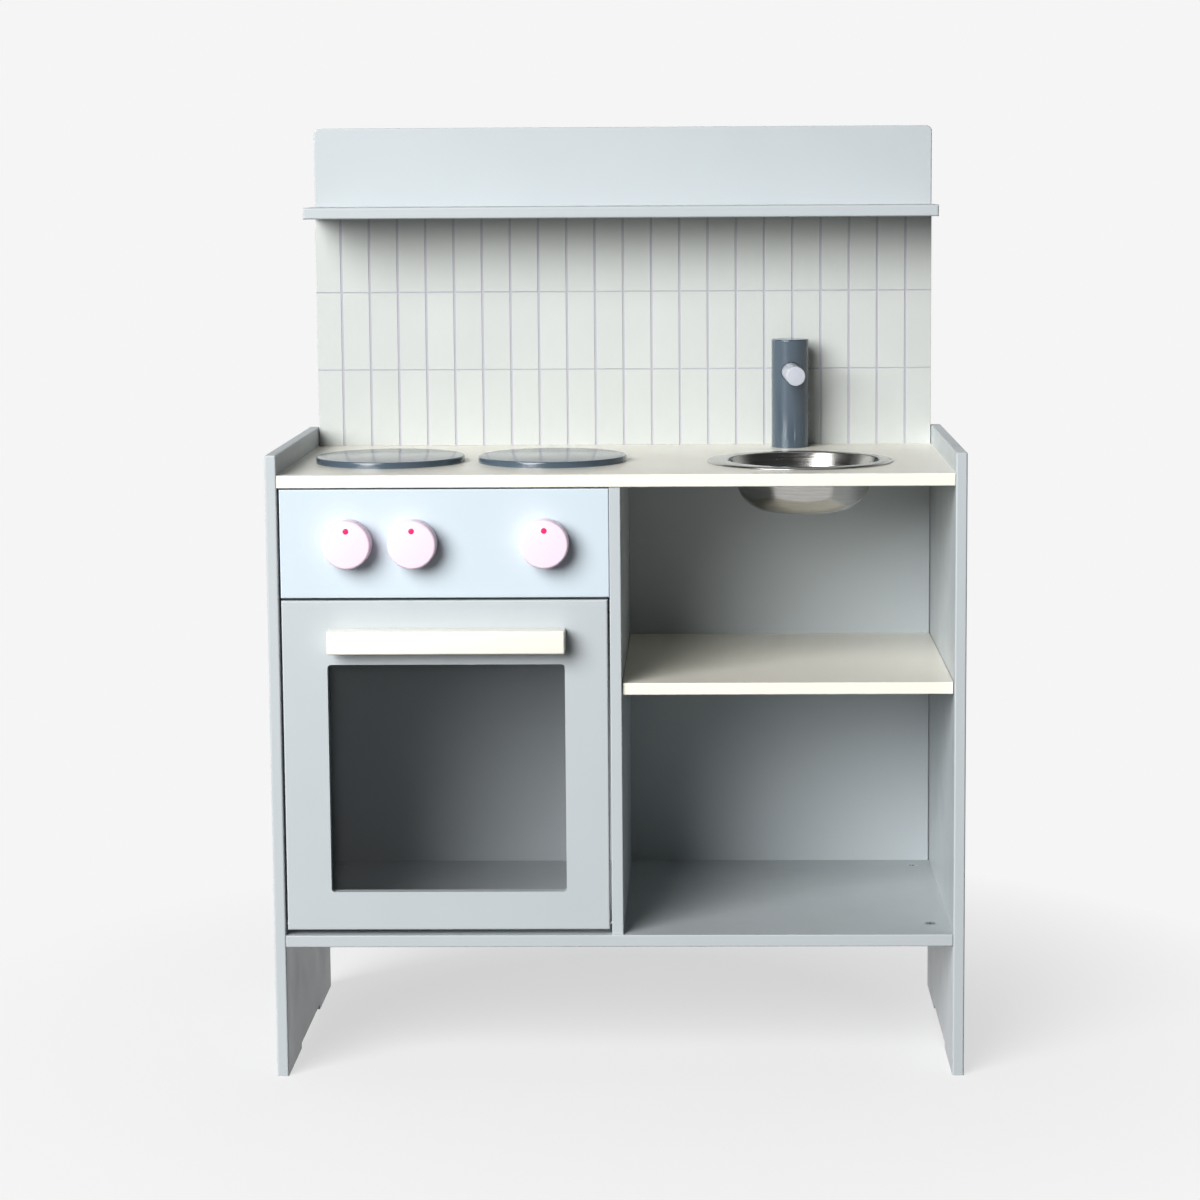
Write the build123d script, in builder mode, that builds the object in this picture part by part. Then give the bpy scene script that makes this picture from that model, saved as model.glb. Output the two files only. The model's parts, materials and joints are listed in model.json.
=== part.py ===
from build123d import *

import os

# Toy kitchen: a painted board cabinet with an oven, two open cubbies, a sink, a hob and a tiled splashback.
# Millimetres. +Z is up, +X is to the right seen from the front and the front faces -Y. The origin is on
# the floor, in the middle of the whole object's width and depth.

os.makedirs("parts", exist_ok=True)

LOW = (Align.CENTER, Align.CENTER, Align.MIN)

# ---------------------------------------------------------------- overall sizes
WIDTH = 600.0                    # over the outer faces of the side panels
SIDE_DEPTH = 280.0               # front to back of a side panel
SIDE_HEIGHT = 546.0
TOTAL_HEIGHT = 827.0             # top of the back board
HANDLE_REACH = 18.5              # how far the door handle stands in front of the side panels

# ---------------------------------------------------------------- board thicknesses
PANEL = 10.0                     # side panels, divider, back board, door and control panel
SHELF = 10.5                     # base board, middle shelf and ledge
WORKTOP = 11.0
TILE_SKIN = 0.8
EDGE = 1.5                       # rounding of the boards' outer edges
SOFT_EDGE = 1.0                  # rounding of edges that meet a neighbour

# ---------------------------------------------------------------- levels above the floor
BASE_TOP = 126.0
SHELF_TOP = 347.0
DOOR_LOW = 130.5
DOOR_HIGH = 420.3
CONTROL_LOW = 422.4
WORKTOP_TOP = 528.5
LEDGE_TOP = 754.0
KNOB_LEVEL = 470.25

# ---------------------------------------------------------------- places across and from front to back
CONTROL_END_GAP = 1.6            # between the left side panel and the control panel
CONTROL_GAP = 1.2                # between the control panel and the worktop over it
FRONT = HANDLE_REACH - (SIDE_DEPTH + HANDLE_REACH) / 2
REAR = FRONT + SIDE_DEPTH
BACK_FACE = REAR - PANEL                     # front face of the back board
INNER = WIDTH / 2 - PANEL                    # inner faces of the side panels
CONTROL_LEFT = -INNER + CONTROL_END_GAP
DIVIDER_LEFT = -6.0
DIVIDER_RIGHT = DIVIDER_LEFT + PANEL
DIVIDER_X = (DIVIDER_LEFT + DIVIDER_RIGHT) / 2
DIVIDER_FRONT = FRONT + 2.0
SHELF_FRONT = FRONT + 5.5
DOOR_FRONT = FRONT + 1.5
DOOR_REAR = DOOR_FRONT + PANEL
CONTROL_FRONT = DOOR_FRONT
CONTROL_REAR = CONTROL_FRONT + PANEL
WORKTOP_LOW = WORKTOP_TOP - WORKTOP
CONTROL_HIGH = WORKTOP_LOW - CONTROL_GAP
BASE_LOW = BASE_TOP - SHELF
LEDGE_LOW = LEDGE_TOP - SHELF
SHELF_LOW = SHELF_TOP - SHELF
BASE_MIDDLE = BASE_TOP - SHELF / 2
SHELF_MIDDLE = SHELF_TOP - SHELF / 2
WORKTOP_MIDDLE = WORKTOP_TOP - WORKTOP / 2
LEDGE_MIDDLE = LEDGE_TOP - SHELF / 2

# ---------------------------------------------------------------- feet and shelf
FOOT_LENGTH = 80.0               # each end of a side panel that touches the floor
FOOT_RELIEF = 5.0                # height of the relief between the two feet
SHELF_END_GAP = 0.5
LEDGE_DEPTH = 78.5
BACK_CORNER = 5.5                # corner radius at the top of the back board
BACK_GAP = 0.6                   # between each side panel and the back board
BACK_SIDE = INNER - BACK_GAP     # outer edges of the back board and its tiled skin

# ---------------------------------------------------------------- tiles
TILE_PITCH = 26.54
TILE_COLUMN_LINES = 21
TILE_ROW_LINES = (600.3, 673.4)
GROUT_WIDTH = 2.0
GROUT_DEPTH = 0.4

# ---------------------------------------------------------------- oven door
DOOR_GAP = 1.6                   # at each side of the door
DOOR_LEFT = -INNER + DOOR_GAP
DOOR_RIGHT = DIVIDER_LEFT - DOOR_GAP
WINDOW_LEFT, WINDOW_RIGHT = -249.5, -45.0
WINDOW_LOW, WINDOW_HIGH = 164.4, 364.4
WINDOW_CORNER = 3.0
REBATE_LAP = 9.0                 # how far the pane laps behind the frame
REBATE_DEPTH = 1.6
PANE_THICKNESS = 2.0
PANE_GAP = 0.4                   # between the pane's edge and the rebate
PANE_FRONT = DOOR_REAR - REBATE_DEPTH
PANE_REAR = PANE_FRONT + PANE_THICKNESS
HANDLE_LEFT, HANDLE_RIGHT = -247.3, -43.8
HANDLE_LOW, HANDLE_HIGH = 376.2, 396.2
HANDLE_EDGE = 1.75
HANDLE_SCREW_SPREAD = 80.0       # each handle screw to the left and right of the middle
FRONT_SETBACK = 6.5              # from the door's face back to its pins and the small dowels
PIN_RADIUS = 2.0
PIN_LEVEL = DOOR_LOW + 5.0
PIN_Y = DOOR_FRONT + FRONT_SETBACK
PIN_IN_PANEL = 8.0
PIN_IN_DOOR = 12.0

# ---------------------------------------------------------------- knobs
KNOBS = {"left": -229.4, "middle": -173.5, "right": -60.7}
KNOB_RADIUS = 20.75
KNOB_LENGTH = 18.0
KNOB_GAP = 0.3                   # between a knob's back and the control panel
KNOB_EDGE = 2.2
DOT_RADIUS = 2.5
DOT_OFFSET = 12.0                # from the knob's centre up to its dot
DOT_LENGTH = 4.0
DOT_PROUD = 0.25
KNOB_BOLT_RADIUS = 2.0
KNOB_BOLT_GRIP = 12.0            # length of bolt inside the knob
WASHER_RADIUS = 6.0
WASHER_THICKNESS = 1.0

# ---------------------------------------------------------------- hob
BURNERS = {"left": -205.0, "right": -60.0}
BURNER_Y = FRONT + 119.0
BURNER_RADIUS = 66.25
BURNER_THICKNESS = 5.5
BURNER_EDGE = 1.2
BURNER_SCREW_OFFSET = 30.0

# ---------------------------------------------------------------- sink
RIM_X, SINK_Y = 160.5, FRONT + 109.5
BOWL_X = RIM_X + 3.4             # the pressed bowl lies a little to the right in its rim
RIM_RADIUS = 83.0
RIM_SLOPE_RADIUS = 76.5          # where the flat rim starts to slope down to its edge
RIM_SLOPE_BEND = 4.0
RIM_DROP = 0.9
RIM_OVERLAP = 0.5                # how far the rim's three areas lap over each other
BOWL_MOUTH_RADIUS = 67.5         # where the flat rim turns down into the bowl
BOWL_FLAT_RADIUS = 71.0
SINK_TOP = WORKTOP_TOP + 1.8
BOWL_FLOOR = 485.3
BOWL_FLOOR_CORNER = 50.0         # radius at which the wall would meet the floor without its bend
SINK_SHEET = 0.8
BOWL_BENDS = (27.5, 1.8)         # floor bend and mouth bend
CUTOUT_RADIUS = 71.5

# ---------------------------------------------------------------- tap
TAP_X, TAP_Y = 156.0, FRONT + 245.0
TAP_RADIUS = 17.25
TAP_FOOT_GAP = 0.2
TAP_TOP = 629.5
TAP_EDGE = 1.4
SPOUT_RADIUS = 8.75
SPOUT_LEVEL = 599.5
SPOUT_REACH = 57.5               # length that shows in front of the tap body
SPOUT_TURN = 2.5                 # degrees the resting spout is swung to the right
SPOUT_SOCKET = 8.0               # depth of the bore in the tap body
SPOUT_SOCKET_GAP = 0.5
SPOUT_EDGE = 0.8
TAP_BOLT_RADIUS = 2.5
TAP_BOLT_GRIP = 24.0

# ---------------------------------------------------------------- fits and fasteners
RUNNING = 0.05                   # radial clearance of a turning shaft
SNUG = 0.02                      # radial clearance of a pressed or screwed piece
DOWEL_RADIUS = 3.0
SMALL_DOWEL_RADIUS = 2.0         # at the ends of the control panel
DOWEL_IN_EDGE = 13.0
DOWEL_IN_FACE = 7.0
DOWEL_IN_DIVIDER = 6.0
DOWEL_END_GAP = 0.3
DOWEL_ROWS = (FRONT + 60.0, FRONT + 220.0)
DOWEL_CENTRE_ROW = FRONT + 142.0
CONTROL_DOWEL_INSET = 20.0
CAM_ROWS = (FRONT + 37.0, FRONT + 248.0)
CAM_INSET = 17.0                 # cam centre from the end of its board
CAM_RADIUS = 5.0
CAM_DEPTH = 8.5
CAM_BOLT_RADIUS = 2.4
CAM_NECK_RADIUS = 1.75
CAM_BOLT_IN_PANEL = 8.0
CAM_HEAD_LENGTH = 3.0
CAM_SLOT = (6.0, 1.2, 1.4)       # length, width and depth of a cam's slots
SCREW_RADIUS = 1.75
SCREW_HEAD_RADIUS = 3.5
SCREW_HEAD_HEIGHT = 2.2
SMALL_SCREW_RADIUS = 1.25
SMALL_HEAD_RADIUS = 2.6
SMALL_HEAD_HEIGHT = 1.8
BOLT_HEAD_RADIUS = 4.0
BOLT_HEAD_HEIGHT = 3.0
BACK_SCREW_LENGTH = 30.0
HEAD_TAPER = 0.72                # crown of a domed screw head over its seat
COUNTERSINK_ANGLE = 90.0

# ---------------------------------------------------------------- magnet catch
CATCH_LEFT, CATCH_RIGHT = DIVIDER_LEFT - 16.0, DIVIDER_LEFT
CATCH_LOW, CATCH_HIGH = 377.0, 407.0
CATCH_DEPTH = 16.0
STRIKE_THICKNESS = 1.0
STRIKE_WIDTH = 12.0
CATCH_GAP = 0.4                  # between the strike plate and the magnet when the door is shut
CATCH_FRONT = DOOR_REAR + STRIKE_THICKNESS + CATCH_GAP
CATCH_REAR = CATCH_FRONT + CATCH_DEPTH
CATCH_MIDDLE = (CATCH_LOW + CATCH_HIGH) / 2
CATCH_X = (CATCH_LEFT + CATCH_RIGHT) / 2
MAGNET_SIZE = (8.0, 5.0, 12.0)
CATCH_SCREW_SPREAD = 10.0        # each catch screw above and below the middle
CATCH_SCREW_Y = CATCH_REAR - 5.0
STRIKE_SCREW_SPREAD = 10.0

# ---------------------------------------------------------------- rows of fasteners
END_SIGNS = (-1, 1)
BACK_SCREWS = (
    [(x, BASE_MIDDLE) for x in (-220.0, 0.0, 220.0)]
    + [(x, WORKTOP_MIDDLE) for x in (-240.0, -80.0, 80.0, 240.0)]
    + [(x, LEDGE_MIDDLE) for x in (-240.0, -80.0, 80.0, 240.0)]
    + [(x, SHELF_MIDDLE) for x in (80.0, 220.0)]
    + [(DIVIDER_X, z) for z in (220.0, 400.0)]
)
BURNER_SCREWS = [
    (x + sign * BURNER_SCREW_OFFSET, BURNER_Y) for x in BURNERS.values() for sign in END_SIGNS
]
HANDLE_SCREWS = [
    ((HANDLE_LEFT + HANDLE_RIGHT) / 2 + sign * HANDLE_SCREW_SPREAD, (HANDLE_LOW + HANDLE_HIGH) / 2)
    for sign in END_SIGNS
]
PANE_SCREW_INSET = 4.5           # from the rebate's edge
PANE_LEFT, PANE_RIGHT = WINDOW_LEFT - REBATE_LAP, WINDOW_RIGHT + REBATE_LAP
PANE_LOW, PANE_HIGH = WINDOW_LOW - REBATE_LAP, WINDOW_HIGH + REBATE_LAP
PANE_SCREWS = [
    (x, z)
    for x in (PANE_LEFT + PANE_SCREW_INSET, (PANE_LEFT + PANE_RIGHT) / 2, PANE_RIGHT - PANE_SCREW_INSET)
    for z in (PANE_LOW + PANE_SCREW_INSET, (PANE_LOW + PANE_HIGH) / 2, PANE_HIGH - PANE_SCREW_INSET)
    if (x, z) != ((PANE_LEFT + PANE_RIGHT) / 2, (PANE_LOW + PANE_HIGH) / 2)
]
CONTROL_DOWEL_LEVELS = (CONTROL_LOW + CONTROL_DOWEL_INSET, WORKTOP_LOW - CONTROL_DOWEL_INSET)
CONTROL_DOWEL_Y = CONTROL_FRONT + FRONT_SETBACK

UP, DOWN = (0, 0, 1), (0, 0, -1)
FORWARD, BACKWARD = (0, -1, 0), (0, 1, 0)
LEFTWARD, RIGHTWARD = (-1, 0, 0), (1, 0, 0)


def outward(sign):
    """Direction along X that points away from the middle, for the left (-1) or right (+1) side."""
    return (sign, 0, 0)


def facing(point, direction):
    """Plane at a point whose normal is the given direction."""
    return Plane(origin=point, z_dir=direction)


def board(left, right, front, rear, low, high):
    """Rectangular board between two corners."""
    with Locations(((left + right) / 2, (front + rear) / 2, (low + high) / 2)):
        Box(right - left, rear - front, high - low)


def bore(point, direction, radius, depth):
    """Round blind hole whose mouth is at the point and opens in the given direction."""
    with Locations(facing(point, direction)):
        Hole(radius, depth)


def rod(point, direction, radius, length):
    """Round rod that starts at the point and runs in the given direction."""
    with Locations(facing(point, direction)):
        Cylinder(radius, length, align=LOW)


def cross_recess(point, direction, span, depth):
    """Cross for a screwdriver, sunk into a head whose top is at the point."""
    with Locations(facing(point, direction)):
        Box(span, span / 4, 2 * depth, mode=Mode.SUBTRACT)
        Box(span / 4, span, 2 * depth, mode=Mode.SUBTRACT)


def pan_screw(seat, direction, radius, length, head_radius, head_height):
    """Screw with a domed head that rests on the seat, its shank running in the given direction."""
    outwards = tuple(-value for value in direction)
    top = tuple(place + head_height * step for place, step in zip(seat, outwards))
    rod(seat, direction, radius, length)
    with Locations(facing(seat, outwards)):
        Cone(head_radius, head_radius * HEAD_TAPER, head_height, align=LOW)
    cross_recess(top, outwards, head_radius, head_height / 2)


def flat_screw(mouth, direction, radius, length, head_radius):
    """Countersunk screw whose flat head lies flush at the mouth."""
    outwards = tuple(-value for value in direction)
    rod(mouth, direction, radius, length)
    with Locations(facing(mouth, direction)):
        Cone(head_radius, radius, head_radius - radius, align=LOW)
    cross_recess(mouth, outwards, head_radius, (head_radius - radius) / 2)


def countersink(mouth, direction, radius, depth, head_radius):
    """Hole for a countersunk screw, its mouth opening in the given direction."""
    with Locations(facing(mouth, direction)):
        CounterSinkHole(radius + SNUG, head_radius + SNUG, depth, COUNTERSINK_ANGLE)


def dowel_bore(point, direction, depth, radius=DOWEL_RADIUS):
    """Hole for a wooden dowel, a little deeper than the dowel reaches."""
    bore(point, direction, radius + SNUG, depth + DOWEL_END_GAP)


def end_bores(sign, middle):
    """Dowel and cam bolt holes in one end of the base board or the worktop."""
    end = sign * INNER
    dowel_bore((end, DOWEL_CENTRE_ROW, middle), outward(sign), DOWEL_IN_EDGE)
    for row in CAM_ROWS:
        bore((end, row, middle), outward(sign), CAM_BOLT_RADIUS + SNUG, CAM_INSET)


# ================================================================ side panels
def side_panel(sign):
    """Flat panel that stands on a foot at each end, bored on its inner face for the other boards."""
    inner = sign * INNER
    inward = outward(-sign)
    with BuildPart() as panel:
        with BuildSketch(Plane.YZ.offset(min(inner, inner + sign * PANEL))):
            with Locations((FRONT, 0)):
                Rectangle(SIDE_DEPTH, SIDE_HEIGHT, align=Align.MIN)
            with Locations((FRONT + SIDE_DEPTH / 2, 0)):
                Rectangle(SIDE_DEPTH - 2 * FOOT_LENGTH, 2 * FOOT_RELIEF, mode=Mode.SUBTRACT)
        extrude(amount=PANEL)
        uprights = panel.edges().filter_by(Axis.Z).filter_by(lambda edge: edge.length > FOOT_LENGTH)
        fillet(uprights + panel.faces().sort_by(Axis.Z)[-1].edges(), EDGE)
        for middle in (BASE_MIDDLE, WORKTOP_MIDDLE):
            dowel_bore((inner, DOWEL_CENTRE_ROW, middle), inward, DOWEL_IN_FACE)
            for row in CAM_ROWS:
                bore((inner, row, middle), inward, CAM_BOLT_RADIUS + SNUG, CAM_BOLT_IN_PANEL)
        if sign < 0:
            bore((inner, PIN_Y, PIN_LEVEL), inward, PIN_RADIUS + SNUG, PIN_IN_PANEL)
            for level in CONTROL_DOWEL_LEVELS:
                dowel_bore((inner, CONTROL_DOWEL_Y, level), inward, DOWEL_IN_FACE, SMALL_DOWEL_RADIUS)
        else:
            for row in DOWEL_ROWS:
                dowel_bore((inner, row, SHELF_MIDDLE), inward, DOWEL_IN_FACE)
    return panel


side_panel_left = side_panel(-1)
side_panel_left.part.label = "side_panel_left"
export_step(side_panel_left.part, "parts/side_panel_left.step")

side_panel_right = side_panel(1)
side_panel_right.part.label = "side_panel_right"
export_step(side_panel_right.part, "parts/side_panel_right.step")

# ================================================================ base board
with BuildPart() as base_board:
    board(-INNER, INNER, FRONT, BACK_FACE, BASE_LOW, BASE_TOP)
    fillet(base_board.edges().group_by(Axis.Y)[0], SOFT_EDGE)
    for end_sign in END_SIGNS:
        end_bores(end_sign, BASE_MIDDLE)
        for row in CAM_ROWS:
            bore((end_sign * (INNER - CAM_INSET), row, BASE_TOP), UP, CAM_RADIUS + SNUG, CAM_DEPTH)
    for row in DOWEL_ROWS:
        dowel_bore((DIVIDER_X, row, BASE_TOP), UP, DOWEL_IN_FACE)
    for x, z in BACK_SCREWS:
        if z == BASE_MIDDLE:
            bore((x, BACK_FACE, z), BACKWARD, SCREW_RADIUS + SNUG, BACK_SCREW_LENGTH - PANEL)
base_board.part.label = "base_board"
export_step(base_board.part, "parts/base_board.step")

# ================================================================ divider between the oven and the cubbies
with BuildPart() as divider_panel:
    board(DIVIDER_LEFT, DIVIDER_RIGHT, DIVIDER_FRONT, BACK_FACE, BASE_TOP, WORKTOP_LOW)
    fillet(divider_panel.edges().filter_by(Axis.Z).group_by(Axis.Y)[0], SOFT_EDGE)
    for row in DOWEL_ROWS:
        dowel_bore((DIVIDER_X, row, BASE_TOP), DOWN, DOWEL_IN_EDGE)
        dowel_bore((DIVIDER_X, row, WORKTOP_LOW), UP, DOWEL_IN_EDGE)
        dowel_bore((DIVIDER_RIGHT, row, SHELF_MIDDLE), RIGHTWARD, DOWEL_IN_DIVIDER)
    for level in CONTROL_DOWEL_LEVELS:
        dowel_bore((DIVIDER_LEFT, CONTROL_DOWEL_Y, level), LEFTWARD, DOWEL_IN_DIVIDER, SMALL_DOWEL_RADIUS)
    bore((DIVIDER_LEFT, PIN_Y, PIN_LEVEL), LEFTWARD, PIN_RADIUS + SNUG, PIN_IN_PANEL)
    for sign in END_SIGNS:
        screw_point = (DIVIDER_LEFT, CATCH_SCREW_Y, CATCH_MIDDLE + sign * CATCH_SCREW_SPREAD)
        bore(screw_point, LEFTWARD, SMALL_SCREW_RADIUS + SNUG, DOWEL_IN_DIVIDER)
    for x, z in BACK_SCREWS:
        if x == DIVIDER_X:
            bore((x, BACK_FACE, z), BACKWARD, SCREW_RADIUS + SNUG, BACK_SCREW_LENGTH - PANEL)
divider_panel.part.label = "divider_panel"
export_step(divider_panel.part, "parts/divider_panel.step")

# ================================================================ middle shelf
with BuildPart() as middle_shelf:
    board(DIVIDER_RIGHT + SHELF_END_GAP, INNER - SHELF_END_GAP, SHELF_FRONT, BACK_FACE, SHELF_LOW, SHELF_TOP)
    fillet(middle_shelf.edges().group_by(Axis.Y)[0], SOFT_EDGE)
    for row in DOWEL_ROWS:
        dowel_bore((DIVIDER_RIGHT + SHELF_END_GAP, row, SHELF_MIDDLE), LEFTWARD, DOWEL_IN_EDGE)
        dowel_bore((INNER - SHELF_END_GAP, row, SHELF_MIDDLE), RIGHTWARD, DOWEL_IN_EDGE)
    for x, z in BACK_SCREWS:
        if z == SHELF_MIDDLE:
            bore((x, BACK_FACE, z), BACKWARD, SCREW_RADIUS + SNUG, BACK_SCREW_LENGTH - PANEL)
middle_shelf.part.label = "middle_shelf"
export_step(middle_shelf.part, "parts/middle_shelf.step")

# ================================================================ worktop
with BuildPart() as worktop:
    board(-INNER, INNER, FRONT, BACK_FACE, WORKTOP_LOW, WORKTOP_TOP)
    fillet(worktop.edges().group_by(Axis.Y)[0], SOFT_EDGE)
    bore((BOWL_X, SINK_Y, WORKTOP_TOP), UP, CUTOUT_RADIUS, WORKTOP)
    bore((TAP_X, TAP_Y, WORKTOP_TOP), UP, TAP_BOLT_RADIUS + RUNNING, WORKTOP)
    for x, y in BURNER_SCREWS:
        bore((x, y, WORKTOP_TOP), UP, SCREW_RADIUS + SNUG, WORKTOP)
    for end_sign in END_SIGNS:
        end_bores(end_sign, WORKTOP_MIDDLE)
        for row in CAM_ROWS:
            bore((end_sign * (INNER - CAM_INSET), row, WORKTOP_LOW), DOWN, CAM_RADIUS + SNUG, CAM_DEPTH)
    for row in DOWEL_ROWS:
        dowel_bore((DIVIDER_X, row, WORKTOP_LOW), DOWN, DOWEL_IN_FACE)
    for x, z in BACK_SCREWS:
        if z == WORKTOP_MIDDLE:
            bore((x, BACK_FACE, z), BACKWARD, SCREW_RADIUS + SNUG, BACK_SCREW_LENGTH - PANEL)
worktop.part.label = "worktop"
export_step(worktop.part, "parts/worktop.step")

# ================================================================ back board
with BuildPart() as back_board:
    board(-BACK_SIDE, BACK_SIDE, BACK_FACE, REAR, BASE_LOW, TOTAL_HEIGHT)
    fillet(back_board.edges().filter_by(Axis.Y).group_by(Axis.Z)[-1], BACK_CORNER)
    rim = back_board.edges().filter_by(lambda edge: edge.center().Z > SIDE_HEIGHT)
    fillet(rim.filter_by(Axis.X) + rim.filter_by(GeomType.CIRCLE), SOFT_EDGE)
    for x, z in BACK_SCREWS:
        countersink((x, REAR, z), BACKWARD, SCREW_RADIUS, PANEL, SCREW_HEAD_RADIUS)
back_board.part.label = "back_board"
export_step(back_board.part, "parts/back_board.step")

# ================================================================ tiled skin of the splashback
with BuildPart() as tile_sheet:
    board(-BACK_SIDE, BACK_SIDE, BACK_FACE - TILE_SKIN, BACK_FACE, WORKTOP_TOP, LEDGE_LOW)
    with BuildSketch(Plane.XZ.offset(TILE_SKIN - BACK_FACE)):
        with Locations((0, (WORKTOP_TOP + LEDGE_LOW) / 2)):
            with GridLocations(TILE_PITCH, 0, TILE_COLUMN_LINES, 1):
                Rectangle(GROUT_WIDTH, LEDGE_LOW - WORKTOP_TOP)
        with Locations([(0, line) for line in TILE_ROW_LINES]):
            Rectangle(2 * BACK_SIDE, GROUT_WIDTH)
    extrude(amount=-GROUT_DEPTH, mode=Mode.SUBTRACT)
tile_sheet.part.label = "tile_sheet"
export_step(tile_sheet.part, "parts/tile_sheet.step")

# ================================================================ ledge above the tiles
with BuildPart() as ledge_shelf:
    board(-INNER, INNER, BACK_FACE - LEDGE_DEPTH, BACK_FACE, LEDGE_LOW, LEDGE_TOP)
    fillet(ledge_shelf.edges().group_by(Axis.Y)[0], EDGE)
    for x, z in BACK_SCREWS:
        if z == LEDGE_MIDDLE:
            bore((x, BACK_FACE, z), BACKWARD, SCREW_RADIUS + SNUG, BACK_SCREW_LENGTH - PANEL)
ledge_shelf.part.label = "ledge_shelf"
export_step(ledge_shelf.part, "parts/ledge_shelf.step")

# ================================================================ control panel
with BuildPart() as control_panel:
    board(CONTROL_LEFT, DIVIDER_LEFT, CONTROL_FRONT, CONTROL_REAR, CONTROL_LOW, CONTROL_HIGH)
    fillet(control_panel.edges().group_by(Axis.Y)[0], SOFT_EDGE)
    for knob_x in KNOBS.values():
        bore((knob_x, CONTROL_FRONT, KNOB_LEVEL), FORWARD, KNOB_BOLT_RADIUS + RUNNING, PANEL)
    for level in CONTROL_DOWEL_LEVELS:
        dowel_bore((-INNER, CONTROL_DOWEL_Y, level), LEFTWARD, DOWEL_IN_EDGE, SMALL_DOWEL_RADIUS)
        dowel_bore((DIVIDER_LEFT, CONTROL_DOWEL_Y, level), RIGHTWARD, DOWEL_IN_EDGE, SMALL_DOWEL_RADIUS)
control_panel.part.label = "control_panel"
export_step(control_panel.part, "parts/control_panel.step")

# ================================================================ knobs, each with its dot, bolt and washer
KNOB_BACK = CONTROL_FRONT - KNOB_GAP
KNOB_FACE = KNOB_BACK - KNOB_LENGTH
DOT_LEVEL = KNOB_LEVEL + DOT_OFFSET
WASHER_FRONT = CONTROL_REAR + KNOB_GAP
WASHER_REAR = WASHER_FRONT + WASHER_THICKNESS

for side, knob_x in KNOBS.items():
    with BuildPart() as knob:
        rod((knob_x, KNOB_BACK, KNOB_LEVEL), FORWARD, KNOB_RADIUS, KNOB_LENGTH)
        fillet(knob.edges().group_by(Axis.Y)[0], KNOB_EDGE)
        fillet(knob.edges().group_by(Axis.Y)[-1], SOFT_EDGE)
        bore((knob_x, KNOB_BACK, KNOB_LEVEL), BACKWARD, KNOB_BOLT_RADIUS + SNUG, KNOB_BOLT_GRIP)
        bore((knob_x, KNOB_FACE, DOT_LEVEL), FORWARD, DOT_RADIUS + SNUG, DOT_LENGTH)
    knob.part.label = f"knob_{side}"
    export_step(knob.part, f"parts/knob_{side}.step")

    with BuildPart() as knob_dot:
        rod((knob_x, KNOB_FACE - DOT_PROUD, DOT_LEVEL), BACKWARD, DOT_RADIUS, DOT_LENGTH + DOT_PROUD)
        fillet(knob_dot.edges().group_by(Axis.Y)[0], DOT_PROUD)
    knob_dot.part.label = f"knob_dot_{side}"
    export_step(knob_dot.part, f"parts/knob_dot_{side}.step")

    with BuildPart() as knob_bolt:
        shank = WASHER_REAR - KNOB_BACK + KNOB_BOLT_GRIP
        pan_screw(
            (knob_x, WASHER_REAR, KNOB_LEVEL),
            FORWARD,
            KNOB_BOLT_RADIUS,
            shank,
            BOLT_HEAD_RADIUS,
            BOLT_HEAD_HEIGHT,
        )
    knob_bolt.part.label = f"knob_bolt_{side}"
    export_step(knob_bolt.part, f"parts/knob_bolt_{side}.step")

    with BuildPart() as knob_washer:
        rod((knob_x, WASHER_FRONT, KNOB_LEVEL), BACKWARD, WASHER_RADIUS, WASHER_THICKNESS)
        bore((knob_x, WASHER_FRONT, KNOB_LEVEL), FORWARD, KNOB_BOLT_RADIUS + SNUG, WASHER_THICKNESS)
    knob_washer.part.label = f"knob_washer_{side}"
    export_step(knob_washer.part, f"parts/knob_washer_{side}.step")

# ================================================================ oven door
with BuildPart() as oven_door:
    board(DOOR_LEFT, DOOR_RIGHT, DOOR_FRONT, DOOR_REAR, DOOR_LOW, DOOR_HIGH)
    fillet(oven_door.edges().group_by(Axis.Y)[0], EDGE)
    with BuildSketch(Plane.XZ.offset(-DOOR_FRONT)):
        with Locations(((WINDOW_LEFT + WINDOW_RIGHT) / 2, (WINDOW_LOW + WINDOW_HIGH) / 2)):
            RectangleRounded(WINDOW_RIGHT - WINDOW_LEFT, WINDOW_HIGH - WINDOW_LOW, WINDOW_CORNER)
    extrude(amount=-PANEL, mode=Mode.SUBTRACT)
    with BuildSketch(Plane.XZ.offset(-DOOR_REAR)):
        with Locations(((PANE_LEFT + PANE_RIGHT) / 2, (PANE_LOW + PANE_HIGH) / 2)):
            RectangleRounded(PANE_RIGHT - PANE_LEFT, PANE_HIGH - PANE_LOW, WINDOW_CORNER)
    extrude(amount=REBATE_DEPTH, mode=Mode.SUBTRACT)
    bore((DOOR_LEFT, PIN_Y, PIN_LEVEL), LEFTWARD, PIN_RADIUS + RUNNING, PIN_IN_DOOR)
    bore((DOOR_RIGHT, PIN_Y, PIN_LEVEL), RIGHTWARD, PIN_RADIUS + RUNNING, PIN_IN_DOOR)
    for x, z in HANDLE_SCREWS:
        bore((x, DOOR_REAR, z), BACKWARD, SCREW_RADIUS + SNUG, PANEL)
    for x, z in PANE_SCREWS:
        bore((x, PANE_FRONT, z), BACKWARD, SMALL_SCREW_RADIUS + SNUG, PANEL / 2)
    for sign in END_SIGNS:
        strike_point = (CATCH_X, DOOR_REAR, CATCH_MIDDLE + sign * STRIKE_SCREW_SPREAD)
        bore(strike_point, BACKWARD, SMALL_SCREW_RADIUS + SNUG, PANEL / 2)
oven_door.part.label = "oven_door"
export_step(oven_door.part, "parts/oven_door.step")

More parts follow.
